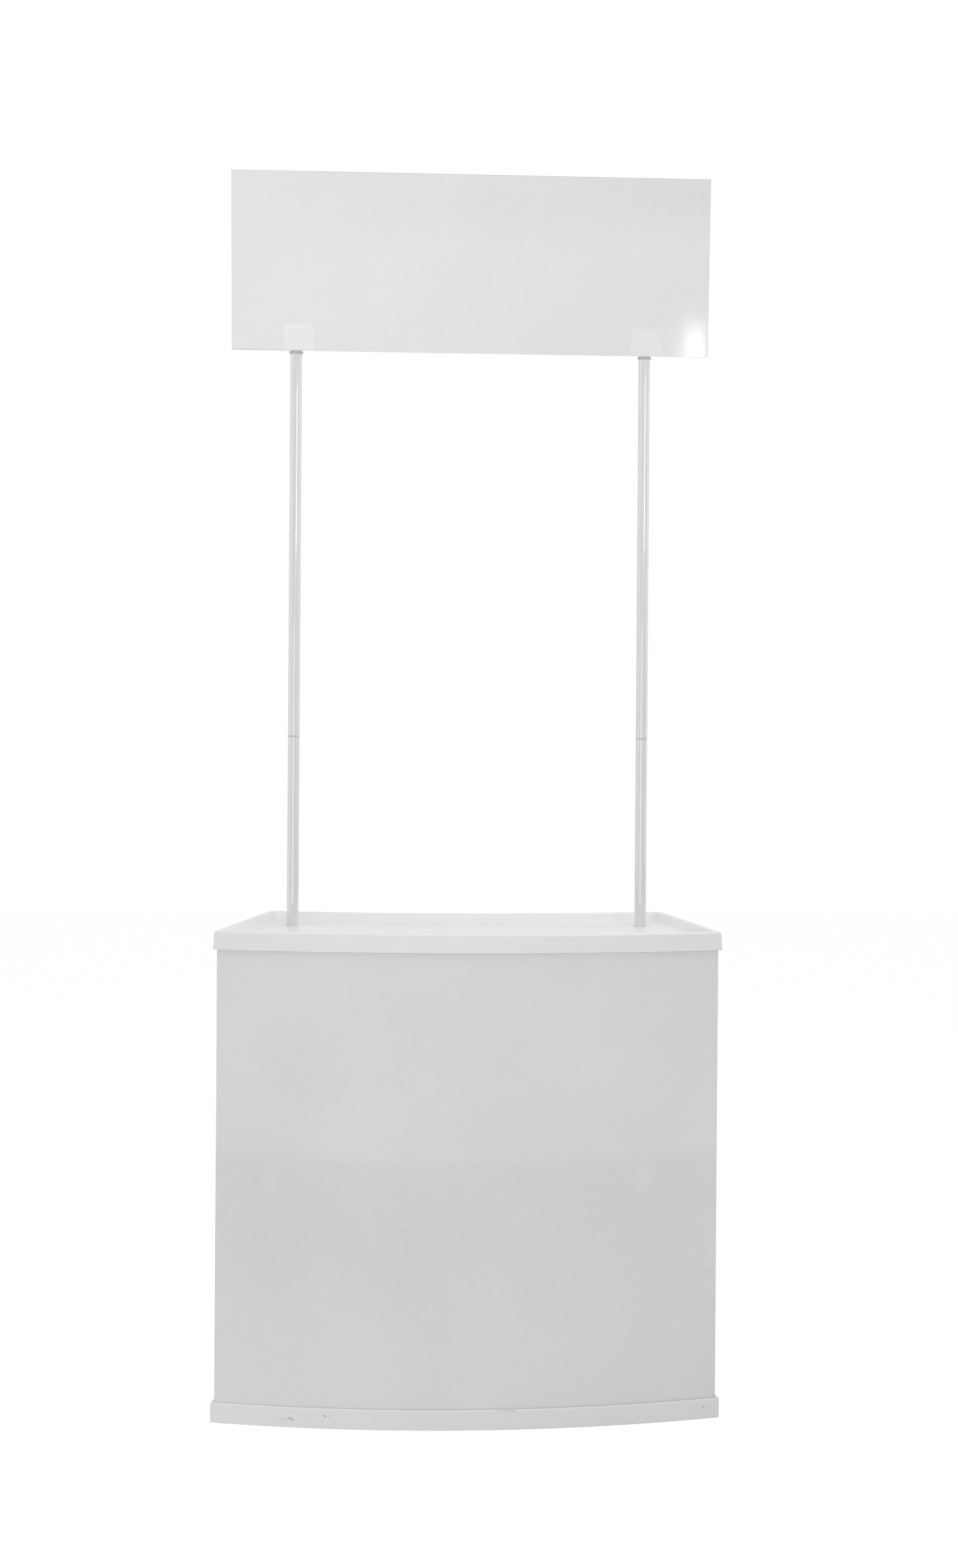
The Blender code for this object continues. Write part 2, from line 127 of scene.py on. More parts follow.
class Signal:
    """A value that varies over a surface, ready for plain Python arithmetic."""

    __add__ = arithmetic("ADD")
    __radd__ = arithmetic("ADD", number_first=True)
    __sub__ = arithmetic("SUBTRACT")
    __rsub__ = arithmetic("SUBTRACT", number_first=True)
    __mul__ = arithmetic("MULTIPLY")
    __rmul__ = arithmetic("MULTIPLY", number_first=True)
    __abs__ = arithmetic("ABSOLUTE")
    at_least = arithmetic("MAXIMUM")

    def __init__(self, graph: "Graph", socket: bpy.types.NodeSocket) -> None:
        """Wraps an output socket of a node tree."""
        self.graph = graph
        self.socket = socket

    def rise(self, low: float, high: float) -> "Signal":
        """Goes smoothly from 0 at low to 1 at high."""
        ends = {"Value": self, "From Min": low, "From Max": high}
        return self.graph.node("ShaderNodeMapRange", {"interpolation_type": "SMOOTHSTEP"}, ends)

    def band(self, centre: float, half_width: float, softness: float) -> "Signal":
        """1 within half_width of the centre, falling to 0 over the softness."""
        return 1.0 - abs(self - centre).rise(half_width, half_width + softness)


Term = Union[Signal, float]


class Graph:
    """The node tree of a material or of the world."""

    def __init__(self, owner: Union[bpy.types.Material, bpy.types.World], shader: str) -> None:
        """Opens the owner's node tree.

        Args:
            owner: The material or the world.
            shader: The name of the shader that its tree starts with.
        """
        owner.use_nodes = True
        self.tree = owner.node_tree
        self.shader = self.tree.nodes[shader]

    def node(self, kind: str, settings: dict, values: dict, output: Union[int, str] = 0) -> Signal:
        """Adds one node.

        Args:
            kind: The node's type.
            settings: The node's own settings, set before its inputs.
            values: Numbers, colours or signals for its inputs, by name or index.
            output: Which output to return.

        Returns:
            The chosen output.
        """
        added = self.tree.nodes.new(kind)
        for setting, value in settings.items():
            setattr(added, setting, value)
        self.feed(added, values)
        return Signal(self, added.outputs[output])

    def feed(self, node: bpy.types.Node, values: dict) -> None:
        """Links signals to a node's inputs and writes constants on them.

        Args:
            node: The node.
            values: Numbers, colours or signals, by the input's name or index.
        """
        for key, value in values.items():
            if isinstance(value, Signal):
                self.tree.links.new(value.socket, node.inputs[key])
            else:
                node.inputs[key].default_value = value

    def seen_directly(self) -> Signal:
        """1 for what the camera sees, straight or by reflection, and 0 for the light on the object."""
        rays = (self.node("ShaderNodeLightPath", {}, {}, f"Is {kind} Ray") for kind in DIRECT_RAYS)
        return functools.reduce(Signal.at_least, rays)

    def show(self, share: Signal, other: Signal) -> None:
        """Mixes another shader over the tree's own.

        Args:
            share: How much of the other shader shows.
            other: The other shader.
        """
        own = Signal(self, self.shader.outputs[0])
        mixed = self.node("ShaderNodeMixShader", {}, {0: share, 1: own, 2: other})
        output = next(node for node in self.tree.nodes if node.type.startswith("OUTPUT"))
        self.feed(output, {"Surface": mixed})


class Surface(Graph):
    """The node tree of a finish, with the piece's own coordinates."""

    def __init__(self, name: str) -> None:
        """Starts a material with its Principled shader.

        Args:
            name: The material's name.
        """
        self.material = bpy.data.materials.new(name)
        super().__init__(self.material, "Principled BSDF")
        self.place = self.node("ShaderNodeTexCoord", {}, {}, "Object")
        self.x, self.y, self.z = (
            self.node("ShaderNodeSeparateXYZ", {}, {"Vector": self.place}, axis) for axis in "XYZ"
        )

    def noise(self, scale: float, detail: float, stretch: Triple = EVEN) -> Signal:
        """Smooth noise on the piece's own coordinates, mostly from 0.3 to 0.7.

        Args:
            scale: Features per metre.
            detail: Octaves of finer noise.
            stretch: How much closer the features lie along each axis.

        Returns:
            The noise.
        """
        place = self.node("ShaderNodeMapping", {}, {"Vector": self.place, "Scale": stretch})
        return self.node("ShaderNodeTexNoise", {}, {"Vector": place, "Scale": scale, "Detail": detail})

    def blend(self, share: Signal, first: Term, second: Term) -> Signal:
        """Mixes two colours, each a colour signal or a plain grey, by how much of the second shows."""
        ends = [end if isinstance(end, Signal) else grey(end) for end in (first, second)]
        return self.node("ShaderNodeMix", {"data_type": "RGBA"}, {0: share, 6: ends[0], 7: ends[1]}, 2)

    def front(self) -> Signal:
        """1 on the front of the counter and 0 further back."""
        return 1.0 - self.y.rise(FRONT_LIMIT - FRONT_FADE, FRONT_LIMIT)

    def layered(self, layers: tuple[Union["Grain", "Mark"], ...]) -> Term:
        """What some grains or marks add up to."""
        return sum((layer.over(self) for layer in layers), start=0.0)


# Finishes


@dataclass(frozen=True)
class Grain:
    """Noise on a finish, plain or as it rises between two limits."""

    scale: float
    detail: float
    share: float = 1.0
    limits: tuple[float, ...] = ()
    stretch: Triple = EVEN

    def over(self, graph: Surface) -> Signal:
        """The noise over the surface, times its share."""
        noise = graph.noise(self.scale, self.detail, self.stretch)
        return (noise.rise(*self.limits) if self.limits else noise) * self.share


@dataclass(frozen=True)
class Mark:
    """A patch of painted light or shade, a speck or a scuff, placed as seen from the front; in a tone, a
    minus makes it darker.
    """

    x: float
    z: float
    half_width: float
    half_height: float
    strength: float
    softness: float = 0.002

    def over(self, graph: Surface) -> Signal:
        """The mark's strength inside it and 0 outside."""
        across = graph.x.band(self.x, self.half_width, self.softness)
        return across * graph.z.band(self.z, self.half_height, self.softness) * self.strength


@dataclass(frozen=True)
class Finish:
    """What all the finishes share: two greys, a gloss, and grains for the tone and the relief."""

    name: str
    light: float
    dark: float
    roughness: float
    relief_depth: float
    roughness_spread: float = 0.06
    roughness_scale: float = 14.0
    index: float = 1.48
    tones: tuple[Grain, ...] = (Grain(4.0, 3.0, 0.6, (0.25, 0.75)), Grain(90.0, 2.0, 0.4))
    contrast: float = 1.0
    level: float = 0.0
    marks: tuple[Mark, ...] = ()
    reliefs: tuple[Grain, ...] = (Grain(420.0, 1.0),)

    def tone(self, graph: Surface) -> Signal:
        """How light the surface is, from 0 for the dark grey to 1 for the light one, with any marks of
        painted light or shade.
        """
        return graph.layered(self.tones) * self.contrast + self.level + graph.layered(self.marks)

    def tint(self, graph: Surface) -> Signal:
        """The colour over the surface."""
        return graph.blend(self.tone(graph), self.dark, self.light)

    def gloss(self, graph: Surface) -> Signal:
        """The roughness over the surface."""
        return self.roughness + (graph.noise(self.roughness_scale, 4.0) - 0.5) * self.roughness_spread

    def relief(self, graph: Surface) -> Signal:
        """The height of the relief, from 0 to 1."""
        return graph.layered(self.reliefs)

    def constants(self) -> dict[str, float]:
        """The shader's inputs that are the same all over the surface."""
        return {"IOR": self.index}

    @functools.cache
    def material(self) -> bpy.types.Material:
        """Builds the material once.

        Returns:
            The finished material.
        """
        graph = Surface(self.name)
        depth = {"Distance": self.relief_depth, "Height": self.relief(graph)}
        graph.feed(graph.shader, self.constants() | {
            "Base Color": self.tint(graph),
            "Roughness": self.gloss(graph),
            "Normal": graph.node("ShaderNodeBump", {}, depth),
        })
        return graph.material


@dataclass(frozen=True)
class MouldedPlastic(Finish):
    """Glossy white moulding with a slow ripple left by cooling, fine scratches and a few scuffs."""

    contrast: float = 0.5
    level: float = 0.25
    reliefs: tuple[Grain, ...] = (Grain(7.0, 1.0, 0.88), Grain(420.0, 1.0, 0.12))
    # Painted shade: the tone falls by this much per metre to the right.
    shade_right: float = 0.0
    scratches: Grain = Grain(16.0, 2.0, 0.18, (0.66, 0.74), (1.0, 1.0, 34.0))
    scuffs: tuple[Mark, ...] = ()
    scuff_grey: float = 0.33
    scuff_breaks: Grain = Grain(230.0, 3.0, 1.0, (0.42, 0.58), (1.0, 1.0, 2.2))

    def tone(self, graph: Surface) -> Signal:
        """Clean plastic, dulled by hair-fine scratches, with painted shade that deepens to the right."""
        return super().tone(graph) - self.scratches.over(graph) - graph.x * self.shade_right

    def tint(self, graph: Surface) -> Signal:
        """Adds the scuffs, which show on the front only, to the plain colour.

        Args:
            graph: The material's node tree.

        Returns:
            The colour.
        """
        clean = super().tint(graph)
        if not self.scuffs:
            return clean
        worn = graph.layered(self.scuffs) * self.scuff_breaks.over(graph) * graph.front()
        return graph.blend(worn, clean, self.scuff_grey)


@dataclass(frozen=True)
class SheetPlastic(Finish):
    """Thin translucent sheet, with painted shade below the shelf behind it, painted light over the couplers,
    and painted light and shade at its foot.
    """

    contrast: float = 0.30
    level: float = 0.35
    reliefs: tuple[Grain, ...] = (Grain(3.2, 1.0, 0.97, (), (1.6, 1.6, 0.7)), Grain(420.0, 1.0, 0.03))
    # Painted shade below the line of the shelf behind the sheet; the line bends with X.
    shelf_height: float = 0.419
    shelf_bend: float = 0.085
    shelf_fade: float = 0.012
    shade_below_shelf: float = 0.14
    # Painted light at the foot, turning to painted shade towards the right.
    foot_height: float = 0.30
    foot_painted_light: float = 0.10
    foot_shade_right: float = 0.7
    front_marks: tuple[Mark, ...] = ()

    def tone(self, graph: Surface) -> Signal:
        """Mottled sheet with painted shade below the shelf, painted light at its foot that turns to painted
        shade at the right, and painted light over the couplers.

        Args:
            graph: The material's node tree.

        Returns:
            The tone.
        """
        # Painted shade below the shelf, painted light and shade at the foot, painted light over the couplers;
        # the specks are real.
        bent = graph.z - graph.x * graph.x * self.shelf_bend
        lit = bent.rise(self.shelf_height - self.shelf_fade, self.shelf_height + self.shelf_fade)
        foot = 1.0 - graph.z.rise(0.0, self.foot_height)
        shaded = super().tone(graph) + (lit - 1.0) * self.shade_below_shelf
        shaded += foot * (self.foot_painted_light - graph.x * self.foot_shade_right)
        return shaded + graph.layered(self.front_marks) * graph.front()


@dataclass(frozen=True)
class EnamelledTube(Finish):
    """White stoved enamel on drawn tube under a clear gloss coat, with a faint draw along it."""

    tones: tuple[Grain, ...] = (Grain(120.0, 2.0, 0.1, (), (1.0, 1.0, 0.03)), Grain(30.0, 2.0, 0.06))
    level: float = 0.12
    reliefs: tuple[Grain, ...] = (Grain(300.0, 1.0, 1.0, (), (1.0, 1.0, 0.3)),)
    # Painted light: the tube is lighter near the tray and towards the top.
    light_by_tray: Point = (0.78, 0.84)
    tray_light_share: float = 0.5
    upper: Point = (0.9, 1.6)
    top_light_share: float = 0.3
    coat: ClassVar[dict[str, float]] = {"Coat Weight": 1.0, "Coat Roughness": 0.05, "Coat IOR": 1.7}

    def tone(self, graph: Surface) -> Signal:
        """Even enamel with slight streaks along the tube, and painted light near the tray and towards the
        top.
        """
        light_by_tray = (1.0 - graph.z.rise(*self.light_by_tray)) * self.tray_light_share
        return super().tone(graph) + light_by_tray + graph.z.rise(*self.upper) * self.top_light_share

    def constants(self) -> dict[str, float]:
        """Adds the clear coat."""
        return super().constants() | self.coat


@dataclass(frozen=True)
class HeaderSheet(Finish):
    """Glossy, slightly bowed board with painted shade that deepens to the right and towards its top."""

    contrast: float = 0.25
    level: float = 0.59
    reliefs: tuple[Grain, ...] = (Grain(5.0, 1.0, 0.97), Grain(420.0, 1.0, 0.03))
    # Painted shade: the tone falls to the right, towards the top, and most at the top right.
    upper: Point = (1.900, 2.020)
    shade_right: float = 0.24
    shade_up: float = 0.12
    shade_corner: float = 0.20

    def tone(self, graph: Surface) -> Signal:
        """Painted shade that deepens to the right, and more so towards the top."""
        # Painted shade towards the top, deeper at the right.
        above = graph.z.rise(*self.upper) * (graph.x * self.shade_corner + self.shade_up)
        return super().tone(graph) - graph.x * self.shade_right - above


@dataclass(frozen=True)
class FoamTape(Finish):
    """Dull foam tape with open cells on its cut edges."""

    cell_scale: float = 1100.0
    cell_range: Point = (0.0, 0.7)

    def relief(self, graph: Surface) -> Signal:
        """Small round cells."""
        values = {"Vector": graph.place, "Scale": self.cell_scale}
        return graph.node("ShaderNodeTexVoronoi", {}, values).rise(*self.cell_range)


BASE_SCUFFS = (
    Mark(-0.2770, 0.0137, 0.0030, 0.0014, 1.10, 0.0012),
    Mark(-0.2880, 0.0132, 0.0085, 0.0008, 0.55, 0.0012),
    Mark(-0.2225, 0.0203, 0.0015, 0.0012, 1.10, 0.0010),
    Mark(-0.2150, 0.0200, 0.0014, 0.0006, 0.55, 0.0010),
    Mark(0.0645, 0.0300, 0.0150, 0.0006, 0.45, 0.0012),
    Mark(0.3823, 0.0194, 0.0016, 0.0014, 0.55),
)
# Painted light on the panel where the couplers stand close behind the translucent sheet.
COUPLER_PAINTED_LIGHT = (
    Mark(-0.315, 0.391, 0.008, 0.018, 0.10, 0.010),
    Mark(0.2795, 0.391, 0.008, 0.018, 0.10, 0.010),
)
PANEL_SPECKS = (
    Mark(0.388, 0.2374, 0.0024, 0.0010, -1.00, 0.0008),
    Mark(-0.102, 0.3140, 0.0012, 0.0010, -0.35),
    Mark(-0.108, 0.2288, 0.0012, 0.0010, -0.30),
)
# Painted light on the header board where the clip plates stand behind the translucent sheet.
CLIP_PLATE_PAINTED_LIGHT = (
    Mark(-0.2935, 1.7690, 0.0240, 0.0220, 0.19, 0.003),
    Mark(0.3004, 1.7690, 0.0240, 0.0210, 0.17, 0.006),
)
# Painted shade: thin dark lines along the board's top, lower left and side edges, where its broken edges turn
# away from the light.
HEADER_EDGE_PAINTED_SHADE = (
    Mark(0.0700, 2.0458, 0.3370, 0.0005, -0.70, 0.0008),
    Mark(0.0000, 2.0458, 0.4100, 0.0005, -0.40, 0.0008),
    Mark(-0.3450, 1.7474, 0.0600, 0.0006, -0.80, 0.0008),
    Mark(0.4068, 1.8970, 0.0003, 0.1480, -0.35, 0.0010),
    Mark(-0.4068, 1.8970, 0.0003, 0.1480, -0.25, 0.0010),
)
# Painted shadow: a dark band round the top of the clip's collar, just under the board.
COLLAR_PAINTED_SHADOW = Mark(0.0, 1.7446, 1.0, 0.0011, -0.75, 0.0006)

TABLETOP_PLASTIC = MouldedPlastic("tabletop_plastic", 0.82, 0.74, 0.34, 0.0003)
# Painted shade: the base darkens towards the right.
BASE_PLASTIC = MouldedPlastic(
    "base_plastic", 0.80, 0.70, 0.36, 0.0003, scuffs=BASE_SCUFFS, shade_right=1.3
)
# The front marks are real specks plus the painted light over the couplers.
PANEL_SHEET = SheetPlastic(
    "panel_sheet", 0.82, 0.62, 0.38, 0.0006, front_marks=COUPLER_PAINTED_LIGHT + PANEL_SPECKS
)
SOCKET_PLASTIC = MouldedPlastic("socket_plastic", 0.78, 0.72, 0.42, 0.0001)
# Its dark grey serves only the painted shadow on the collar.
CLIP_PLASTIC = Finish(
    "clip_plastic", 0.80, 0.36, 0.42, 0.0001, contrast=0.1, level=0.9, marks=(COLLAR_PAINTED_SHADOW,)
)
TUBE_ENAMEL = EnamelledTube("tube_enamel", 0.755, 0.63, 0.15, 0.000004, 0.03)
# It carries the painted light over the clip plates and the painted shade along the edges.
HEADER_GLOSS = HeaderSheet(
    "header_gloss", 0.90, 0.66, 0.085, 0.00012, 0.02, marks=CLIP_PLATE_PAINTED_LIGHT + HEADER_EDGE_PAINTED_SHADE
)
TAPE_FOAM = FoamTape("tape_foam", 0.84, 0.76, 0.85, 0.0002)


# Mesh building


class Shape:
    """A mesh under construction, in the counter's own frame."""

    def __init__(self) -> None:
        """Starts an empty mesh."""
        self.mesh = bmesh.new()

    def turned(self, profile: list[Point], foot: Vector) -> "Shape":
        """Spins a profile once round a vertical axis into a closed solid.

        Args:
            profile: Points as (radius, height over the foot), from axis to axis or all the way round.
            foot: Where the axis starts.

        Returns:
            This shape.
        """
        verts = [self.mesh.verts.new(foot + Vector((radius, 0.0, height))) for radius, height in profile]
        starts_off_axis = profile[0][0] > 0.0
        pairs = list(zip(verts, verts[1:])) + ([(verts[-1], verts[0])] if starts_off_axis else [])
        edges = [self.mesh.edges.new(pair) for pair in pairs]
        bmesh.ops.spin(
            self.mesh, geom=verts + edges, cent=foot, axis=UP, angle=math.tau, steps=TURN_STEPS,
            use_merge=True,
        )
        return self.closed()

    def box(self, size: Triple, centre: Triple) -> "Shape":
        """Adds a rectangular block.

        Args:
            size: Its width, depth and height.
            centre: Its middle.

        Returns:
            This shape.
        """
        place = Matrix.Translation(centre) @ Matrix.Diagonal((*size, 1.0))
        bmesh.ops.create_cube(self.mesh, size=1.0, matrix=place)
        return self

    def edges_along(self, axis: int) -> list[BMEdge]:
        """The edges whose ends lie apart along an axis, from 0 for X to 2 for Z."""
        ends = ((edge, *edge.verts) for edge in self.mesh.edges)
        return [edge for edge, one, other in ends if abs(one.co[axis] - other.co[axis]) > TOLERANCE]

    def round_edges(self, edges: list[BMEdge], radius: float, segments: int) -> "Shape":
        """Rounds edges.

        Args:
            edges: The edges.
            radius: The radius of the rounding.
            segments: How finely it is divided.

        Returns:
            This shape.
        """
        bmesh.ops.bevel(
            self.mesh, geom=edges, offset=radius, offset_type="OFFSET", segments=segments,
            profile=ROUND_PROFILE, affect="EDGES", material=-1, clamp_overlap=True,
        )
        return self

    def closed(self) -> "Shape":
        """Merges doubled points and turns a closed solid's faces outwards.

        Returns:
            This shape.
        """
        bmesh.ops.remove_doubles(self.mesh, verts=self.mesh.verts, dist=WELD)
        bmesh.ops.recalc_face_normals(self.mesh, faces=self.mesh.faces)
        return self

    def face_away(self, heart: Vector) -> "Shape":
        """Turns an open skin so that it faces away from a point behind it.

        Args:
            heart: The point.

        Returns:
            This shape.
        """
        faces = self.closed().mesh.faces
        if sum(face.calc_area() * face.normal.dot(face.calc_center_median() - heart) for face in faces) < 0.0:
            bmesh.ops.reverse_faces(self.mesh, faces=faces)
        return self

    def piece(self, name: str) -> bpy.types.Object:
        """Ends the shape and links it to the scene as an object at the origin.

        Args:
            name: The object's name.

        Returns:
            The object.
        """
        data = bpy.data.meshes.new(name)
        self.mesh.to_mesh(data)
        self.mesh.free()
        obj = bpy.data.objects.new(name, data)
        bpy.context.scene.collection.objects.link(obj)
        return obj


class Pen:
    """Draws a level path of edges in a shape, arc by arc."""

    def __init__(self, shape: Shape, start: Vector) -> None:
        """Sets the pen down.

        Args:
            shape: The shape to draw in.
            start: Where the path starts.
        """
        self.mesh = shape.mesh
        self.known = set(shape.mesh.edges)
        self.first = self.last = shape.mesh.verts.new(start)

    def line(self, end: Point) -> None:
        """Draws a straight line to a point at the same height."""
        start, self.last = self.last, self.mesh.verts.new((*end, self.last.co.z))
        self.mesh.edges.new((start, self.last))

    def arc(self, centre: Point, angle: float, steps: int) -> None:
        """Draws an arc by spinning the path's last point.

        Args:
            centre: The arc's centre, at the same height.
            angle: How far to turn, counter-clockwise from above.
            steps: How many edges to make.
        """
        spun = bmesh.ops.spin(
            self.mesh, geom=[self.last], cent=(*centre, self.last.co.z), axis=UP, angle=angle, steps=steps
        )
        self.last = next(item for item in spun["geom_last"] if isinstance(item, BMVert))

    def close(self) -> None:
        """Welds the path's end to its start."""
        bmesh.ops.pointmerge(self.mesh, verts=[self.last, self.first], merge_co=self.first.co)

    def drawn(self) -> list[BMEdge]:
        """The edges drawn so far."""
        return [edge for edge in self.mesh.edges if edge not in self.known]


def rounded(points: list[Point], radii: dict[int, float], steps: int = 5) -> list[Point]:
    """Rounds the corners of a profile.

    Args:
        points: The profile's points.
        radii: The radius at a corner, by the point's index.
        steps: How many edges each rounding gets.

    Returns:
        The profile with an arc at each of those corners.
    """
    profile = []
    for index, point in enumerate(points):
        corner = Vector(point)
        if index not in radii:
            profile.append(tuple(corner))
            continue
        back = (Vector(points[index - 1]) - corner).normalized()
        ahead = (Vector(points[index + 1]) - corner).normalized()
        half = back.angle(ahead) / 2.0
        centre = corner + (back + ahead).normalized() * radii[index] / math.sin(half)
        start = corner + back * radii[index] / math.tan(half) - centre
        turn = start.angle_signed(corner + ahead * radii[index] / math.tan(half) - centre)
        for step in range(steps + 1):
            profile.append(tuple(centre + Matrix.Rotation(-turn * step / steps, 2) @ start))
    return profile


def strided(points: list[Point], stride: float) -> list[Point]:
    """Adds points to a profile so that no step is longer than a stride.

    Args:
        points: The profile's points.
        stride: The longest step.

    Returns:
        The denser profile.
    """
    dense = [points[0]]
    for start, end in zip(points, points[1:]):
        steps = max(1, math.ceil(math.dist(start, end) / stride))
        dense += [tuple(Vector(start).lerp(Vector(end), step / steps)) for step in range(1, steps + 1)]
    return dense


def settle_modifier(obj: bpy.types.Object, kind: str, **settings: object) -> None:
    """Adds a modifier and replaces the object's mesh by what it makes of it.

    Args:
        obj: The object.
        kind: The modifier's type.
        settings: The modifier's settings, by name.
    """
    modifier = obj.modifiers.new(kind, kind)
    for name, value in settings.items():
        setattr(modifier, name, value)
    settled = bpy.data.meshes.new_from_object(obj.evaluated_get(bpy.context.evaluated_depsgraph_get()))
    obj.modifiers.clear()
    obj.data = settled


def combine(obj: bpy.types.Object, others: list[bpy.types.Object], operation: str) -> None:
    """Cuts other solids from an object, or joins them on.

    Args:
        obj: The object.
        others: The other solids, which are used up.
        operation: DIFFERENCE or UNION.
    """
    for other in others:
        settle_modifier(obj, "BOOLEAN", operation=operation, solver="EXACT", object=other)
        bpy.data.objects.remove(other, do_unlink=True)


def smooth_over(obj: bpy.types.Object) -> None:
    """Shades an object smooth, with sharp creases and level flats.

    Args:
        obj: The object.
    """
    shape = bmesh.new()
    shape.from_mesh(obj.data)
    for face in shape.faces:
        face.smooth = True
    for edge in shape.edges:
        edge.smooth = not edge.is_manifold or edge.calc_face_angle() < CREASE_ANGLE
    shape.to_mesh(obj.data)
    shape.free()
    settle_modifier(obj, "WEIGHTED_NORMAL", keep_sharp=True)


@dataclass
class FanPlan:
    """The fan-shaped outline: an arc in front, straight sides that close in, a hollow arc behind."""

    front_width: float = 0.815
    rear_width: float = 0.695
    depth: float = 0.420
    front_bulge: float = 0.052
    rear_hollow: float = 0.045
    front_steps: int = 96
    rear_steps: int = 48
    corner_steps: int = 6
    least_corner: float = 0.0004
    stride: float = 0.005
    spacing: float = 0.05

    def __post_init__(self) -> None:
        """Works out the right corners, both arcs, and which way the right side runs and faces."""
        front_y, rear_y = -self.depth / 2.0, self.depth / 2.0
        self.front_corner = Vector((self.front_width / 2.0, front_y + self.front_bulge))
        self.rear_corner = Vector((self.rear_width / 2.0, rear_y))
        self.front_radius = self.radius_of(self.front_width / 2.0, self.front_bulge)
        self.rear_radius = self.radius_of(self.rear_width / 2.0, self.rear_hollow)
        self.front_centre = Vector((0.0, front_y + self.front_radius))
        self.rear_centre = Vector((0.0, rear_y - self.rear_hollow + self.rear_radius))
        self.along = (self.rear_corner - self.front_corner).normalized()
        self.outward = Vector((self.along.y, -self.along.x))

    @staticmethod
    def radius_of(half_chord: float, rise: float) -> float:
        """Radius of the arc that rises this far over a chord."""
        return (half_chord**2 + rise**2) / (2.0 * rise)

    def half_width_at(self, y: float) -> float:
        """Half the width between the straight sides, at one depth."""
        share = (y - self.front_corner.y) / (self.rear_corner.y - self.front_corner.y)
        return self.front_corner.lerp(self.rear_corner, share).x

    def corner(self, centre: Vector, radius: float, inset: float) -> Vector:
        """Where the right side, moved in, meets an arc.

        Args:
            centre: The arc's centre.
            radius: The arc's radius.
            inset: How far the side is moved in.

        Returns:
            The corner.
        """
        start = self.front_corner - self.outward * inset
        foot = start + self.along * (centre - start).dot(self.along)
        return foot - self.along * math.sqrt(radius**2 - (centre - foot).length_squared)

    def path(
        self, shape: Shape, level: float, inset: float, front_round: float, rear_round: float,
        closed: bool = True,
    ) -> list[BMEdge]:
        """Draws the outline, or only its front and sides.

        Args:
            shape: The shape to draw it in.
            level: Its height.
            inset: How far it is moved in all round.
            front_round: The radius of its front corners.
            rear_round: The radius of its rear corners.
            closed: Whether it has its rear.

        Returns:
            The path's edges.
        """
        front_inset, rear_inset = inset + front_round, inset + rear_round
        front = self.corner(self.front_centre, self.front_radius - front_inset, front_inset)
        rear = self.corner(self.rear_centre, self.rear_radius + rear_inset, rear_inset)
        flip = Vector((-1.0, 1.0))
        forward = abs((front - self.front_centre).angle_signed(self.outward))
        backward = abs(self.outward.angle_signed(self.rear_centre - rear))
        front_half = math.atan2(front.x, self.front_centre.y - front.y)
        rear_half = math.atan2(rear.x, self.rear_centre.y - rear.y)
        pen = Pen(shape, ((rear + self.outward * rear_round) * flip).to_3d() + UP * level)
        pen.line((front + self.outward * front_round) * flip)
        pen.arc(front * flip, forward, self.corner_steps)
        pen.arc(self.front_centre, 2.0 * front_half, self.front_steps)
        pen.arc(front, forward, self.corner_steps)
        pen.line(rear + self.outward * rear_round)
        if closed:
            pen.arc(rear, backward, self.corner_steps)
            pen.arc(self.rear_centre, -2.0 * rear_half, self.rear_steps)
            pen.arc(rear * flip, backward, self.corner_steps)
            pen.close()
        return pen.drawn()

    def sweep(self, profile: list[Point], outer_core: float, inner_core: float, inner: float) -> Shape:
        """Sweeps an upright profile round the outline and closes both its ends with flat faces.

        The rings are bridged while they stand well apart, and then moved to their heights.

        Args:
            profile: Points as (inset, height).
            outer_core: How far inside the outline the corners at its edge turn.
            inner_core: How far inside it the corners further in turn.
            inner: The inset from which they do.

        Returns:
            The solid.
        """
        shape, rings, drops = Shape(), [], []
        for index, (inset, level) in enumerate(strided(profile, self.stride)):
            core = outer_core + (inner_core - outer_core) * min(inset / inner, 1.0)
            corner = max(core - inset, self.least_corner)
            rings.append(self.path(shape, index * self.spacing, inset, corner, corner))
            drops.append(level - index * self.spacing)
        for near, far in zip(rings, rings[1:]):
            bmesh.ops.bridge_loops(shape.mesh, edges=near + far)
        for ring, drop in zip(rings, drops):
            verts = list({vert for edge in ring for vert in edge.verts})
            bmesh.ops.translate(shape.mesh, verts=verts, vec=UP * drop)
        for end in (rings[0], rings[-1]):
            bmesh.ops.contextual_create(shape.mesh, geom=end)
        return shape.closed()


PLAN = FanPlan()


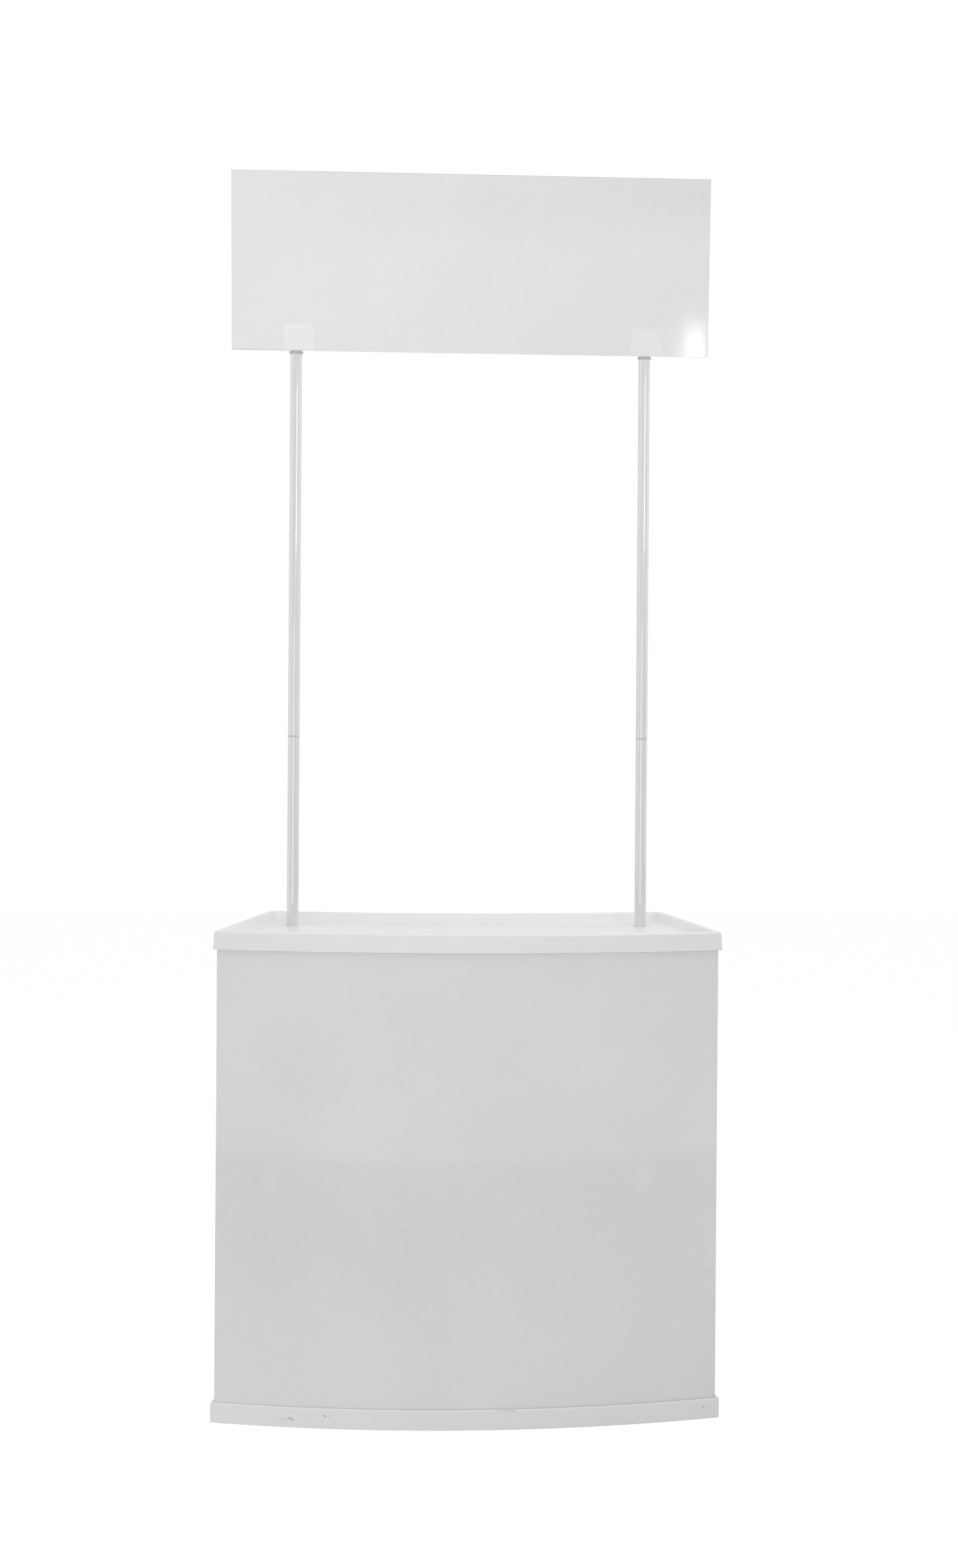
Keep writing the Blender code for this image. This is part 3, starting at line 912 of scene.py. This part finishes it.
@dataclass
class SubAssembly:
    """A group of pieces that lift off together, with the tube and the places that all groups share."""

    body: ClassVar[Body]

    tube_radius: float = 0.010
    tube_wall: float = 0.0012
    bore: float = 0.01029
    sleeve: float = 0.01179
    cut: float = 0.0005
    pole_y: float = 0.095
    pole_side_inset: float = 0.068
    front_leg_x: float = 0.300
    front_leg_inset: float = 0.0125

    def pole(self, side: Side) -> Vector:
        """The foot of one pole's axis, at floor level."""
        x = PLAN.half_width_at(self.pole_y) - self.pole_side_inset
        return Vector((side.value * x, self.pole_y, 0.0))

    def front_leg(self, side: Side) -> Vector:
        """Finds where a front leg stands, along the front arc.

        Args:
            side: Which leg.

        Returns:
            The foot of its axis, at floor level.
        """
        reach = PLAN.front_radius - self.front_leg_inset - self.sleeve
        y = PLAN.front_centre.y - math.sqrt(reach**2 - self.front_leg_x**2)
        return Vector((side.value * self.front_leg_x, y, 0.0))

    def legs(self) -> dict[str, Vector]:
        """The feet of the four uprights inside the counter, by corner name."""
        front = {f"front_{side}": self.front_leg(side) for side in Side}
        return front | {f"rear_{side}": self.pole(side) for side in Side}

    def deliver(self, obj: bpy.types.Object, slot: Slot, finish: Finish, *nodes: str) -> None:
        """Smooths a piece, gives it its finish and hangs it on its body.

        Args:
            obj: The piece.
            slot: The material slot it belongs to; not used.
            finish: Its finish.
            nodes: The solids that it stands for.
        """
        smooth_over(obj)
        obj.data.materials.clear()
        obj.data.materials.append(finish.material())
        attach(obj, self.body.value)
        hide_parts(*nodes)
        LOG.info("%s: %d faces on %s", obj.name, len(obj.data.polygons), self.body.value)

    def turn(self, name: str, profile: list[Point], foot: Vector, node: str) -> None:
        """Turns a piece of socket plastic on this foot and delivers it for its node."""
        self.deliver(Shape().turned(profile, foot).piece(name), Slot.SOCKET, SOCKET_PLASTIC, node)

    def tube(self, name: str, low: float, high: float, foot: Vector, node: str) -> None:
        """Makes a length of tube with broken edges at both ends.

        Args:
            name: Its name.
            low: The height of its lower end.
            high: The height of its upper end.
            foot: Its axis at floor level.
            node: The solid that it stands for.
        """
        outer, inner, cut = self.tube_radius, self.tube_radius - self.tube_wall, self.cut
        profile = [
            (outer, low + cut), (outer, high - cut), (outer - cut, high), (inner + cut / 2, high),
            (inner, high - cut), (inner, low + cut), (inner + cut / 2, low), (outer - cut, low),
        ]
        self.deliver(Shape().turned(profile, foot).piece(name), Slot.TUBE, TUBE_ENAMEL, node)

    def bore_holes(self, obj: bpy.types.Object, low: float, high: float, feet: list[Vector]) -> None:
        """Cuts the holes that tubes pass through.

        Args:
            obj: The piece.
            low: The height from which it is cut.
            high: The height up to which it is cut.
            feet: The tubes' axes at floor level.
        """
        profile = [(0.0, high), (self.bore, high), (self.bore, low), (0.0, low)]
        combine(obj, [Shape().turned(profile, foot).piece("cutter") for foot in feet], "DIFFERENCE")


@dataclass
class BaseUnit(SubAssembly):
    """The moulded base, the wrap panel, the shelf, and the legs that carry them."""

    body: ClassVar[Body] = Body.BASE

    height: float = 0.0315
    floor: float = 0.004
    lip: float = 0.0046
    draft: float = 0.0001
    corner_radius: float = 0.0028
    lip_round: float = 0.0019
    lip_break: float = 0.0004
    foot_round: float = 0.0006

    panel_inset: float = 0.005
    panel_thickness: float = 0.0015
    panel_bottom: float = 0.0043
    panel_top: float = 0.7787
    fold_radius: float = 0.0040
    panel_rows: int = 40
    wave_depth: float = 0.0005
    wave_across: Triple = (9.0, 2.6, 0.8)
    wave_upright: Point = (6.5, 0.4)

    shelf_top: float = 0.422
    shelf_thickness: float = 0.008
    shelf_inset: float = 0.0075
    shelf_round: float = 0.0012

    socket_top: float = 0.0343
    socket_floor: float = 0.003
    socket_flange: float = 0.0165
    flange_thickness: float = 0.0022
    coupler_top: float = 0.4137
    coupler_bottom: float = 0.3687
    coupler_web: Point = (0.3897, 0.3927)
    bead: float = 0.0008
    bead_height: float = 0.0030
    leg_foot: float = 0.0076
    front_leg_top: float = 0.7599

    def build(self) -> None:
        """Builds every piece of the base unit."""
        self.build_base()
        self.build_panel()
        self.build_shelf()
        web_low, web_high = self.coupler_web
        for corner, foot in self.legs().items():
            self.turn(f"leg_socket_{corner}", self.socket_profile(), foot, f"base_socket_{corner}")
            self.turn(f"coupler_sleeve_{corner}", self.coupler_profile(), foot, f"shelf_coupler_{corner}")
            self.tube(f"leg_tube_{corner}", self.leg_foot, web_low - FIT_GAP, foot, f"lower_leg_{corner}")
        for side in Side:
            self.tube(
                f"upper_leg_tube_{side}", web_high + FIT_GAP, self.front_leg_top, self.front_leg(side),
                f"upper_leg_front_{side}",
            )

    def build_base(self) -> None:
        """A flat floor with an upright lip all round."""
        profile = rounded(
            [
                (self.lip, 0.0), (0.0, 0.0), (0.0, self.height), (self.lip, self.height),
                (self.lip + self.draft, self.floor),
            ],
            {1: self.foot_round, 2: self.lip_round, 3: self.lip_break},
        )
        shape = PLAN.sweep(profile, self.corner_radius, self.lip + self.corner_radius, self.lip)
        self.deliver(shape.piece("base_moulding"), Slot.MOULDING, BASE_PLASTIC, "base_tray")

    def build_panel(self) -> None:
        """One sheet folded round the two front corners, a little wavy between base and tabletop."""
        shape = Shape()
        foot = PLAN.path(
            shape, self.panel_bottom, self.panel_inset, self.fold_radius, TOLERANCE, closed=False
        )
        made = bmesh.ops.extrude_edge_only(shape.mesh, edges=foot)["geom"]
        raised = [item for item in made if isinstance(item, BMVert)]
        bmesh.ops.translate(shape.mesh, verts=raised, vec=UP * (self.panel_top - self.panel_bottom))
        bmesh.ops.subdivide_edges(
            shape.mesh, edges=shape.edges_along(2), cuts=self.panel_rows, use_grid_fill=True
        )
        self.ruffle(shape.face_away(UP * self.panel_top / 2.0))
        panel = shape.piece("panel_wrap")
        settle_modifier(
            panel, "SOLIDIFY", thickness=self.panel_thickness, offset=-1.0, use_even_offset=True
        )
        self.deliver(panel, Slot.SHEET, PANEL_SHEET, "wrap_panel")

    def ruffle(self, shape: Shape) -> None:
        """Bends the free part of the sheet in and out by less than a millimetre.

        Args:
            shape: The sheet, before it gets its thickness.
        """
        along_x, along_z, phase = self.wave_across
        upright_z, upright_phase = self.wave_upright
        for vert in shape.mesh.verts:
            x, _, z = vert.co
            share = (z - self.height) / (self.panel_top - 2.0 * self.height)
            free = math.sin(math.pi * min(max(share, 0.0), 1.0))
            wave = math.sin(along_x * x + along_z * z + phase) * math.sin(upright_z * z + upright_phase)
            inward = Vector((-vert.normal.x, -vert.normal.y, 0.0))
            vert.co += inward * self.wave_depth * free * (0.5 + 0.5 * wave)

    def build_shelf(self) -> None:
        """The mid shelf, with a hole for each upright."""
        under, top, edge = self.shelf_top - self.shelf_thickness, self.shelf_top, self.shelf_inset
        profile = rounded(
            [(2.0 * edge, under), (edge, under), (edge, top), (2.0 * edge, top)],
            {1: self.shelf_round, 2: self.shelf_round},
        )
        core = edge + 2.0 * self.shelf_round
        shelf = PLAN.sweep(profile, core, core, edge).piece("shelf_board")
        self.bore_holes(shelf, under - self.lip, top + self.lip, list(self.legs().values()))
        self.deliver(shelf, Slot.MOULDING, TABLETOP_PLASTIC, "mid_shelf")

    def socket_profile(self) -> list[Point]:
        """Draws the section of a cup with a flange, in which a leg stands.

        Returns:
            The section, over the floor.
        """
        outer, bore, cut, flange, top = self.sleeve, self.bore, self.cut, self.socket_flange, self.socket_top
        bottom = self.floor + FIT_GAP
        shoulder = bottom + self.flange_thickness
        return [
            (0.0, bottom + self.socket_floor), (bore, bottom + self.socket_floor), (bore, top - cut),
            (bore + cut / 2, top), (outer - cut, top), (outer, top - cut), (outer, shoulder + 3 * cut),
            (outer + cut, shoulder + cut), (outer + 3 * cut, shoulder), (flange - cut, shoulder),
            (flange, shoulder - cut), (flange, bottom), (0.0, bottom),
        ]

    def coupler_profile(self) -> list[Point]:
        """Draws the section of a beaded sleeve under the shelf that takes a tube from each end.

        Returns:
            The section, over the floor.
        """
        outer, bore, cut, wide = self.sleeve, self.bore, self.cut, self.sleeve + self.bead
        low, high, (web_low, web_high) = self.coupler_bottom, self.coupler_top, self.coupler_web
        return [
            (0.0, web_high), (bore, web_high), (bore, high - cut), (bore + cut / 2, high),
            (wide - cut, high), (wide, high - cut), (wide, high - self.bead_height),
            (outer, high - self.bead_height - self.bead), (outer, low + self.bead_height + self.bead),
            (wide, low + self.bead_height), (wide, low + cut), (wide - cut, low),
            (bore + cut / 2, low), (bore, low + cut), (bore, web_low), (0.0, web_low),
        ]


@dataclass
class Tabletop(SubAssembly):
    """The moulded tabletop with its sunk tray, and the cups and rings under it."""

    body: ClassVar[Body] = Body.TABLETOP

    height: float = 0.782
    apron: float = 0.0295
    apron_draft: float = 0.0012
    rim: float = 0.0095
    tray_depth: float = 0.0155
    tray_draft: float = 0.0125
    wall: float = 0.0022
    corner_radius: float = 0.0030
    tray_core: float = 0.030
    edge_round: float = 0.0036
    rim_round: float = 0.0080
    tray_fillet: float = 0.0090
    apron_wall: float = 0.0046

    cup_depth: float = 0.0148
    cup_floor: float = 0.003
    ring_radius: float = 0.0133
    ring_height: float = 0.0128

    def build(self) -> None:
        """Builds the moulding, the cups that hold the front legs and the rings that guide the poles."""
        underside = self.height - self.tray_depth - self.wall
        self.build_moulding(underside)
        top = underside - FIT_GAP
        for side in Side:
            self.turn(
                f"leg_cup_{side}", self.cup_profile(top), self.front_leg(side), f"tabletop_socket_{side}"
            )
            self.turn(f"pole_ring_{side}", self.ring_profile(top), self.pole(side), f"pole_guide_{side}")

    def build_moulding(self, underside: float) -> None:
        """One thin-walled moulding: apron, rim and tray.

        Args:
            underside: The height of the tray's underside.
        """
        height, wall, skirt, foot = self.height, self.wall, self.apron_wall, self.rim + self.tray_draft
        floor, low, heart = height - self.tray_depth, height - self.apron, foot + 2.0 * self.tray_fillet
        profile = rounded(
            [
                (heart, floor - wall), (foot - wall, floor - wall), (self.rim - wall, height - wall),
                (skirt, height - wall), (skirt, low), (0.0, low),
                (self.apron_draft, height), (self.rim, height), (foot, floor), (heart, floor),
            ],
            {1: self.tray_fillet, 6: self.edge_round, 7: self.rim_round, 8: self.tray_fillet},
        )
        top = PLAN.sweep(profile, self.corner_radius, self.tray_core, self.rim).piece("tabletop_moulding")
        self.bore_holes(top, underside - wall, height, [self.pole(side) for side in Side])
        self.deliver(top, Slot.MOULDING, TABLETOP_PLASTIC, "tabletop_tray")

    def cup_profile(self, top: float) -> list[Point]:
        """Draws the section of a cup that holds a front leg's top.

        Args:
            top: The height of its top.

        Returns:
            The section, over the floor.
        """
        outer, bore, cut = self.sleeve, self.bore, self.cut
        low, roof = top - self.cup_depth, top - self.cup_floor
        return [
            (0.0, top), (outer, top), (outer, low + cut), (outer - cut, low), (bore + cut / 2, low),
            (bore, low + cut), (bore, roof), (0.0, roof),
        ]

    def ring_profile(self, top: float) -> list[Point]:
        """Draws the section of a guide ring that a pole passes through.

        Args:
            top: The height of its top.

        Returns:
            The section, over the floor.
        """
        outer, bore, cut, low = self.ring_radius, self.bore, self.cut, top - self.ring_height
        return [
            (outer, top), (outer, low + cut), (outer - cut, low), (bore + cut, low), (bore, low + cut),
            (bore, top),
        ]


@dataclass
class LowerPoles(SubAssembly):
    """The two lower pole sections, with the joiners in their tops."""

    body: ClassVar[Body] = Body.LOWER_POLES

    foot: float = 0.3930
    joint: float = 1.090
    ring: float = 0.0012
    plug_radius: float = 0.0085
    plug_bore: float = 0.0065
    plug_length: float = 0.045

    def build(self) -> None:
        """Builds both sections and both joiners."""
        for side in Side:
            foot, top = self.pole(side), self.joint - self.ring / 2.0 - FIT_GAP
            self.tube(f"lower_pole_tube_{side}", self.foot, top, foot, f"lower_pole_{side}")
            joint = foot + UP * self.joint
            self.turn(f"joiner_plug_{side}", self.joiner_profile(), joint, f"pole_joiner_{side}")

    def joiner_profile(self) -> list[Point]:
        """Draws the section of a plug for both poles, with a thin ring that shows between them.

        Returns:
            The section, over the joint.
        """
        cut, half, outer = self.cut, self.ring / 2.0, self.tube_radius
        plug, bore, reach = self.plug_radius, self.plug_bore, self.plug_length
        return [
            (plug - cut, reach), (plug, reach - cut), (plug, half), (outer - cut / 2, half),
            (outer, half / 2), (outer, -half / 2), (outer - cut / 2, -half),
            (plug, -half), (plug, cut - reach), (plug - cut, -reach), (bore, -reach), (bore, reach),
        ]


@dataclass
class UpperPoles(SubAssembly):
    """The two upper pole sections."""

    body: ClassVar[Body] = Body.UPPER_POLES

    foot: float = 1.0909
    top: float = 1.7425

    def build(self) -> None:
        """Builds both sections."""
        for side in Side:
            self.tube(f"upper_pole_tube_{side}", self.foot, self.top, self.pole(side), f"upper_pole_{side}")


@dataclass
class Header(SubAssembly):
    """The header board, the clips that plug into the poles, and the tape between them."""

    body: ClassVar[Body] = Body.HEADER

    lean: float = math.radians(5.5)
    hinge: float = 1.7463
    width: float = 0.814
    height: float = 0.300
    thickness: float = 0.003
    seat: float = 0.0015
    board_y: float = -0.0046
    board_round: float = 0.0003

    plate_width: float = 0.052
    plate_height: float = 0.042
    plate_thickness: float = 0.003
    plate_foot: float = 0.0032
    neck_width: float = 0.018
    neck_height: float = 0.0060
    neck_depth_share: float = 0.9
    root: float = 0.0018
    plate_corner: float = 0.004
    plate_round: float = 0.0005
    rib_width: float = 0.0022
    rib_reach: float = 0.0086
    rib_height: float = 0.026
    rib_spacing: float = 0.015

    collar_radius: float = 0.0117
    collar_height: float = 0.0035
    plug_radius: float = 0.0085
    plug_bore: float = 0.0065
    plug_length: float = 0.035

    tape_thickness: float = 0.001
    tape_margin: float = 0.003

    def build(self) -> None:
        """Builds the board, both clips and both pads of tape."""
        self.build_board()
        for side in Side:
            self.build_clip(side)
            self.build_tape(side)

    def stand(self, shape: Shape, foot: Vector, name: str) -> bpy.types.Object:
        """Leans a shape forward from the pole tops, over a point at floor level, and ends it.

        Args:
            shape: The shape.
            foot: The point.
            name: The piece's name.

        Returns:
            The piece.
        """
        place = Matrix.Translation(foot + UP * self.hinge) @ Matrix.Rotation(self.lean, 4, "X")
        bmesh.ops.transform(shape.mesh, matrix=place, verts=shape.mesh.verts)
        return shape.closed().piece(name)

    def build_board(self) -> None:
        """One flat board with its edges broken."""
        centre = (0.0, self.board_y, self.seat + self.height / 2.0)
        shape = Shape().box((self.width, self.thickness, self.height), centre)
        shape.round_edges(shape.mesh.edges[:], self.board_round, 2)
        board = self.stand(shape, Vector((0.0, self.pole_y, 0.0)), "header_sheet")
        self.deliver(board, Slot.BOARD, HEADER_GLOSS, "header_panel")

    def build_plate(self, side: Side) -> bpy.types.Object:
        """Makes a clip's plate, with round corners.

        Args:
            side: Which clip.

        Returns:
            The plate.
        """
        tall = self.plate_height - self.plate_foot
        centre = (0.0, 0.0, self.plate_foot + tall / 2.0)
        shape = Shape().box((self.plate_width, self.plate_thickness, tall), centre)
        shape.round_edges(shape.edges_along(1), self.plate_corner, 5)
        rims = [edge for edge in shape.mesh.edges if edge.calc_face_angle() > CREASE_ANGLE]
        shape.round_edges(rims, self.plate_round, 2)
        return self.stand(shape, self.pole(side), f"clip_plate_{side}")

    def build_stay(self, side: Side, size: Triple, centre: Vector, taper: float = 0.0) -> bpy.types.Object:
        """Makes a block between a clip's collar and its plate, which tapers behind.

        Args:
            side: Which clip.
            size: Its width, depth and height.
            centre: Its middle, in the leaning frame.
            taper: How far its top rear edge moves towards the plate.

        Returns:
            The block.
        """
        shape = Shape().box(size, centre)
        tip = [vert for vert in shape.mesh.verts if vert.co.z > centre.z and vert.co.y > centre.y]
        bmesh.ops.translate(shape.mesh, verts=tip, vec=(0.0, -taper, 0.0))
        return self.stand(shape, self.pole(side), f"clip_stay_{side}")

    def build_clip(self, side: Side) -> None:
        """Makes a plug with a collar that fits a pole top, and the plate on it.

        Args:
            side: Which clip.
        """
        cut, plug, bore, collar = self.cut, self.plug_radius, self.plug_bore, self.collar_radius
        seat, end = -self.collar_height, -self.collar_height - self.plug_length
        profile = [
            (0.0, 0.0), (collar - cut, 0.0), (collar, -cut), (collar, seat + cut), (collar - cut, seat),
            (plug, seat), (plug, end + cut), (plug - cut, end), (bore, end), (bore, seat), (0.0, seat),
        ]
        clip = Shape().turned(profile, self.pole(side) + UP * self.hinge).piece(f"clip_body_{side}")
        neck_depth = self.neck_depth_share * self.plate_thickness
        neck_size = (self.neck_width, neck_depth, self.neck_height + self.root)
        neck = self.build_stay(side, neck_size, UP * (self.neck_height - self.root) / 2.0)
        taper = self.rib_reach - self.plate_thickness / 3.0
        ribs = [
            self.build_stay(
                side, (self.rib_width, self.rib_reach, self.rib_height),
                Vector((offset, self.rib_reach / 2.0, self.rib_height / 2.0 - self.root)), taper,
            )
            for offset in (-self.rib_spacing / 2.0, self.rib_spacing / 2.0)
        ]
        combine(clip, [self.build_plate(side), neck, *ribs], "UNION")
        self.deliver(clip, Slot.SOCKET, CLIP_PLASTIC, f"header_clip_{side}")

    def build_tape(self, side: Side) -> None:
        """Makes a pad of foam tape between the plate and the board.

        Args:
            side: Which clip.
        """
        width, tall = (size - 2 * self.tape_margin for size in (self.plate_width, self.plate_height))
        y = -self.plate_thickness / 2.0 - FIT_GAP - self.tape_thickness / 2.0
        shape = Shape().box((width, self.tape_thickness, tall), (0.0, y, self.plate_height / 2.0))
        shape.round_edges(shape.mesh.edges[:], self.tape_thickness / 5.0, 2)
        pad = self.stand(shape, self.pole(side), f"tape_pad_{side}")
        self.deliver(pad, Slot.TAPE, TAPE_FOAM, f"header_tape_{side}")


# Studio


@dataclass(frozen=True)
class SoftLight:
    """A rectangular soft light."""

    name: str
    place: Triple
    aim: Triple
    width: float
    height: float
    power: float

    def hang(self) -> None:
        """Adds the light to the scene."""
        lamp = bpy.data.lights.new(self.name, "AREA")
        lamp.shape = "RECTANGLE"
        lamp.size = self.width
        lamp.size_y = self.height
        lamp.energy = self.power
        obj = bpy.data.objects.new(self.name, lamp)
        obj.location = self.place
        obj.rotation_euler = (Vector(self.aim) - Vector(self.place)).to_track_quat("-Z", "Y").to_euler()
        bpy.context.scene.collection.objects.link(obj)


@dataclass
class Studio:
    """A plain pale floor, soft light and the camera."""

    floor_half_size: float = 9.0
    floor_grey: float = 0.84
    floor_roughness: float = 0.9
    floor_glow: float = 1.08
    floor_share: float = 0.86
    surround: float = 0.485

    camera_place: Triple = (-0.05476, -3.54531, 1.11521)
    camera_yaw: float = math.radians(3.03951)
    camera_pitch: float = math.radians(-0.34735)
    camera_roll: float = math.radians(0.41658)
    focal_pixels: float = 3331.57
    picture_height: float = 2464.0
    shift_pixels: Point = (110.0, 75.0)
    sensor: float = 36.0

    lights: tuple[SoftLight, ...] = (
        SoftLight("front_right_light", (1.34, -3.0, 1.96), (0.0, 0.0, 1.2), 0.75, 0.56, 9.2),
        SoftLight("front_low_light", (-0.5, -3.5, 0.8), (0.0, 0.0, 0.6), 2.2, 1.3, 13.6),
        SoftLight("left_light", (-3.0, -0.35, 1.7), (0.0, 0.0, 0.9), 2.5, 2.6, 15.2),
        SoftLight("right_light", (3.0, 0.35, 1.9), (0.0, 0.0, 0.9), 2.5, 2.6, 12.0),
        SoftLight("overhead_light", (0.35, -0.5, 3.7), (0.0, -0.1, 0.78), 5.0, 2.4, 49.0),
        SoftLight("corner_glow_light", (0.778, -3.23, 1.65), (0.4, 0.09, 1.75), 0.018, 0.26, 0.78),
    )

    def build(self) -> None:
        """Sets up the whole studio."""
        self.lay_floor()
        self.light_surround()
        for light in self.lights:
            light.hang()
        self.place_camera()
        bpy.context.scene.view_settings.view_transform = "Standard"

    def lay_floor(self) -> None:
        """A level floor that looks white and keeps a faint shadow."""
        shape = Shape()
        bmesh.ops.create_grid(shape.mesh, x_segments=1, y_segments=1, size=self.floor_half_size)
        floor = shape.piece("studio_floor")
        material = bpy.data.materials.new("studio_floor")
        graph = Graph(material, "Principled BSDF")
        graph.feed(graph.shader, {"Base Color": grey(self.floor_grey), "Roughness": self.floor_roughness})
        glow = graph.node("ShaderNodeEmission", {}, {"Strength": self.floor_glow})
        graph.show(graph.seen_directly() * self.floor_share, glow)
        floor.data.materials.append(material)

    def light_surround(self) -> None:
        """White wherever the camera looks, softer as light on the object."""
        world = bpy.data.worlds.new("studio_surround")
        graph = Graph(world, "Background")
        graph.feed(graph.shader, {"Color": grey(1.0), "Strength": self.surround})
        white = graph.node("ShaderNodeBackground", {}, {"Color": grey(1.0)})
        graph.show(graph.seen_directly(), white)
        bpy.context.scene.world = world

    def place_camera(self) -> None:
        """Stands the camera where the photograph was taken."""
        lens = bpy.data.cameras.new("camera")
        lens.sensor_width = self.sensor
        lens.lens = self.focal_pixels / self.picture_height * self.sensor
        lens.shift_x, lens.shift_y = (-shift / self.picture_height for shift in self.shift_pixels)
        camera = bpy.data.objects.new("camera", lens)
        turn = (
            Matrix.Rotation(-self.camera_yaw, 4, "Z")
            @ Matrix.Rotation(math.pi / 2.0 + self.camera_pitch, 4, "X")
            @ Matrix.Rotation(self.camera_roll, 4, "Z")
        )
        camera.matrix_world = Matrix.Translation(self.camera_place) @ turn
        bpy.context.scene.collection.objects.link(camera)
        bpy.context.scene.camera = camera


def main() -> None:
    """Builds the counter and its studio."""
    logging.basicConfig(level=logging.INFO, format="%(message)s")
    for part in (BaseUnit(), Tabletop(), LowerPoles(), UpperPoles(), Header(), Studio()):
        LOG.info("building %s", type(part).__name__)
        part.build()


if __name__ == "__main__":
    main()
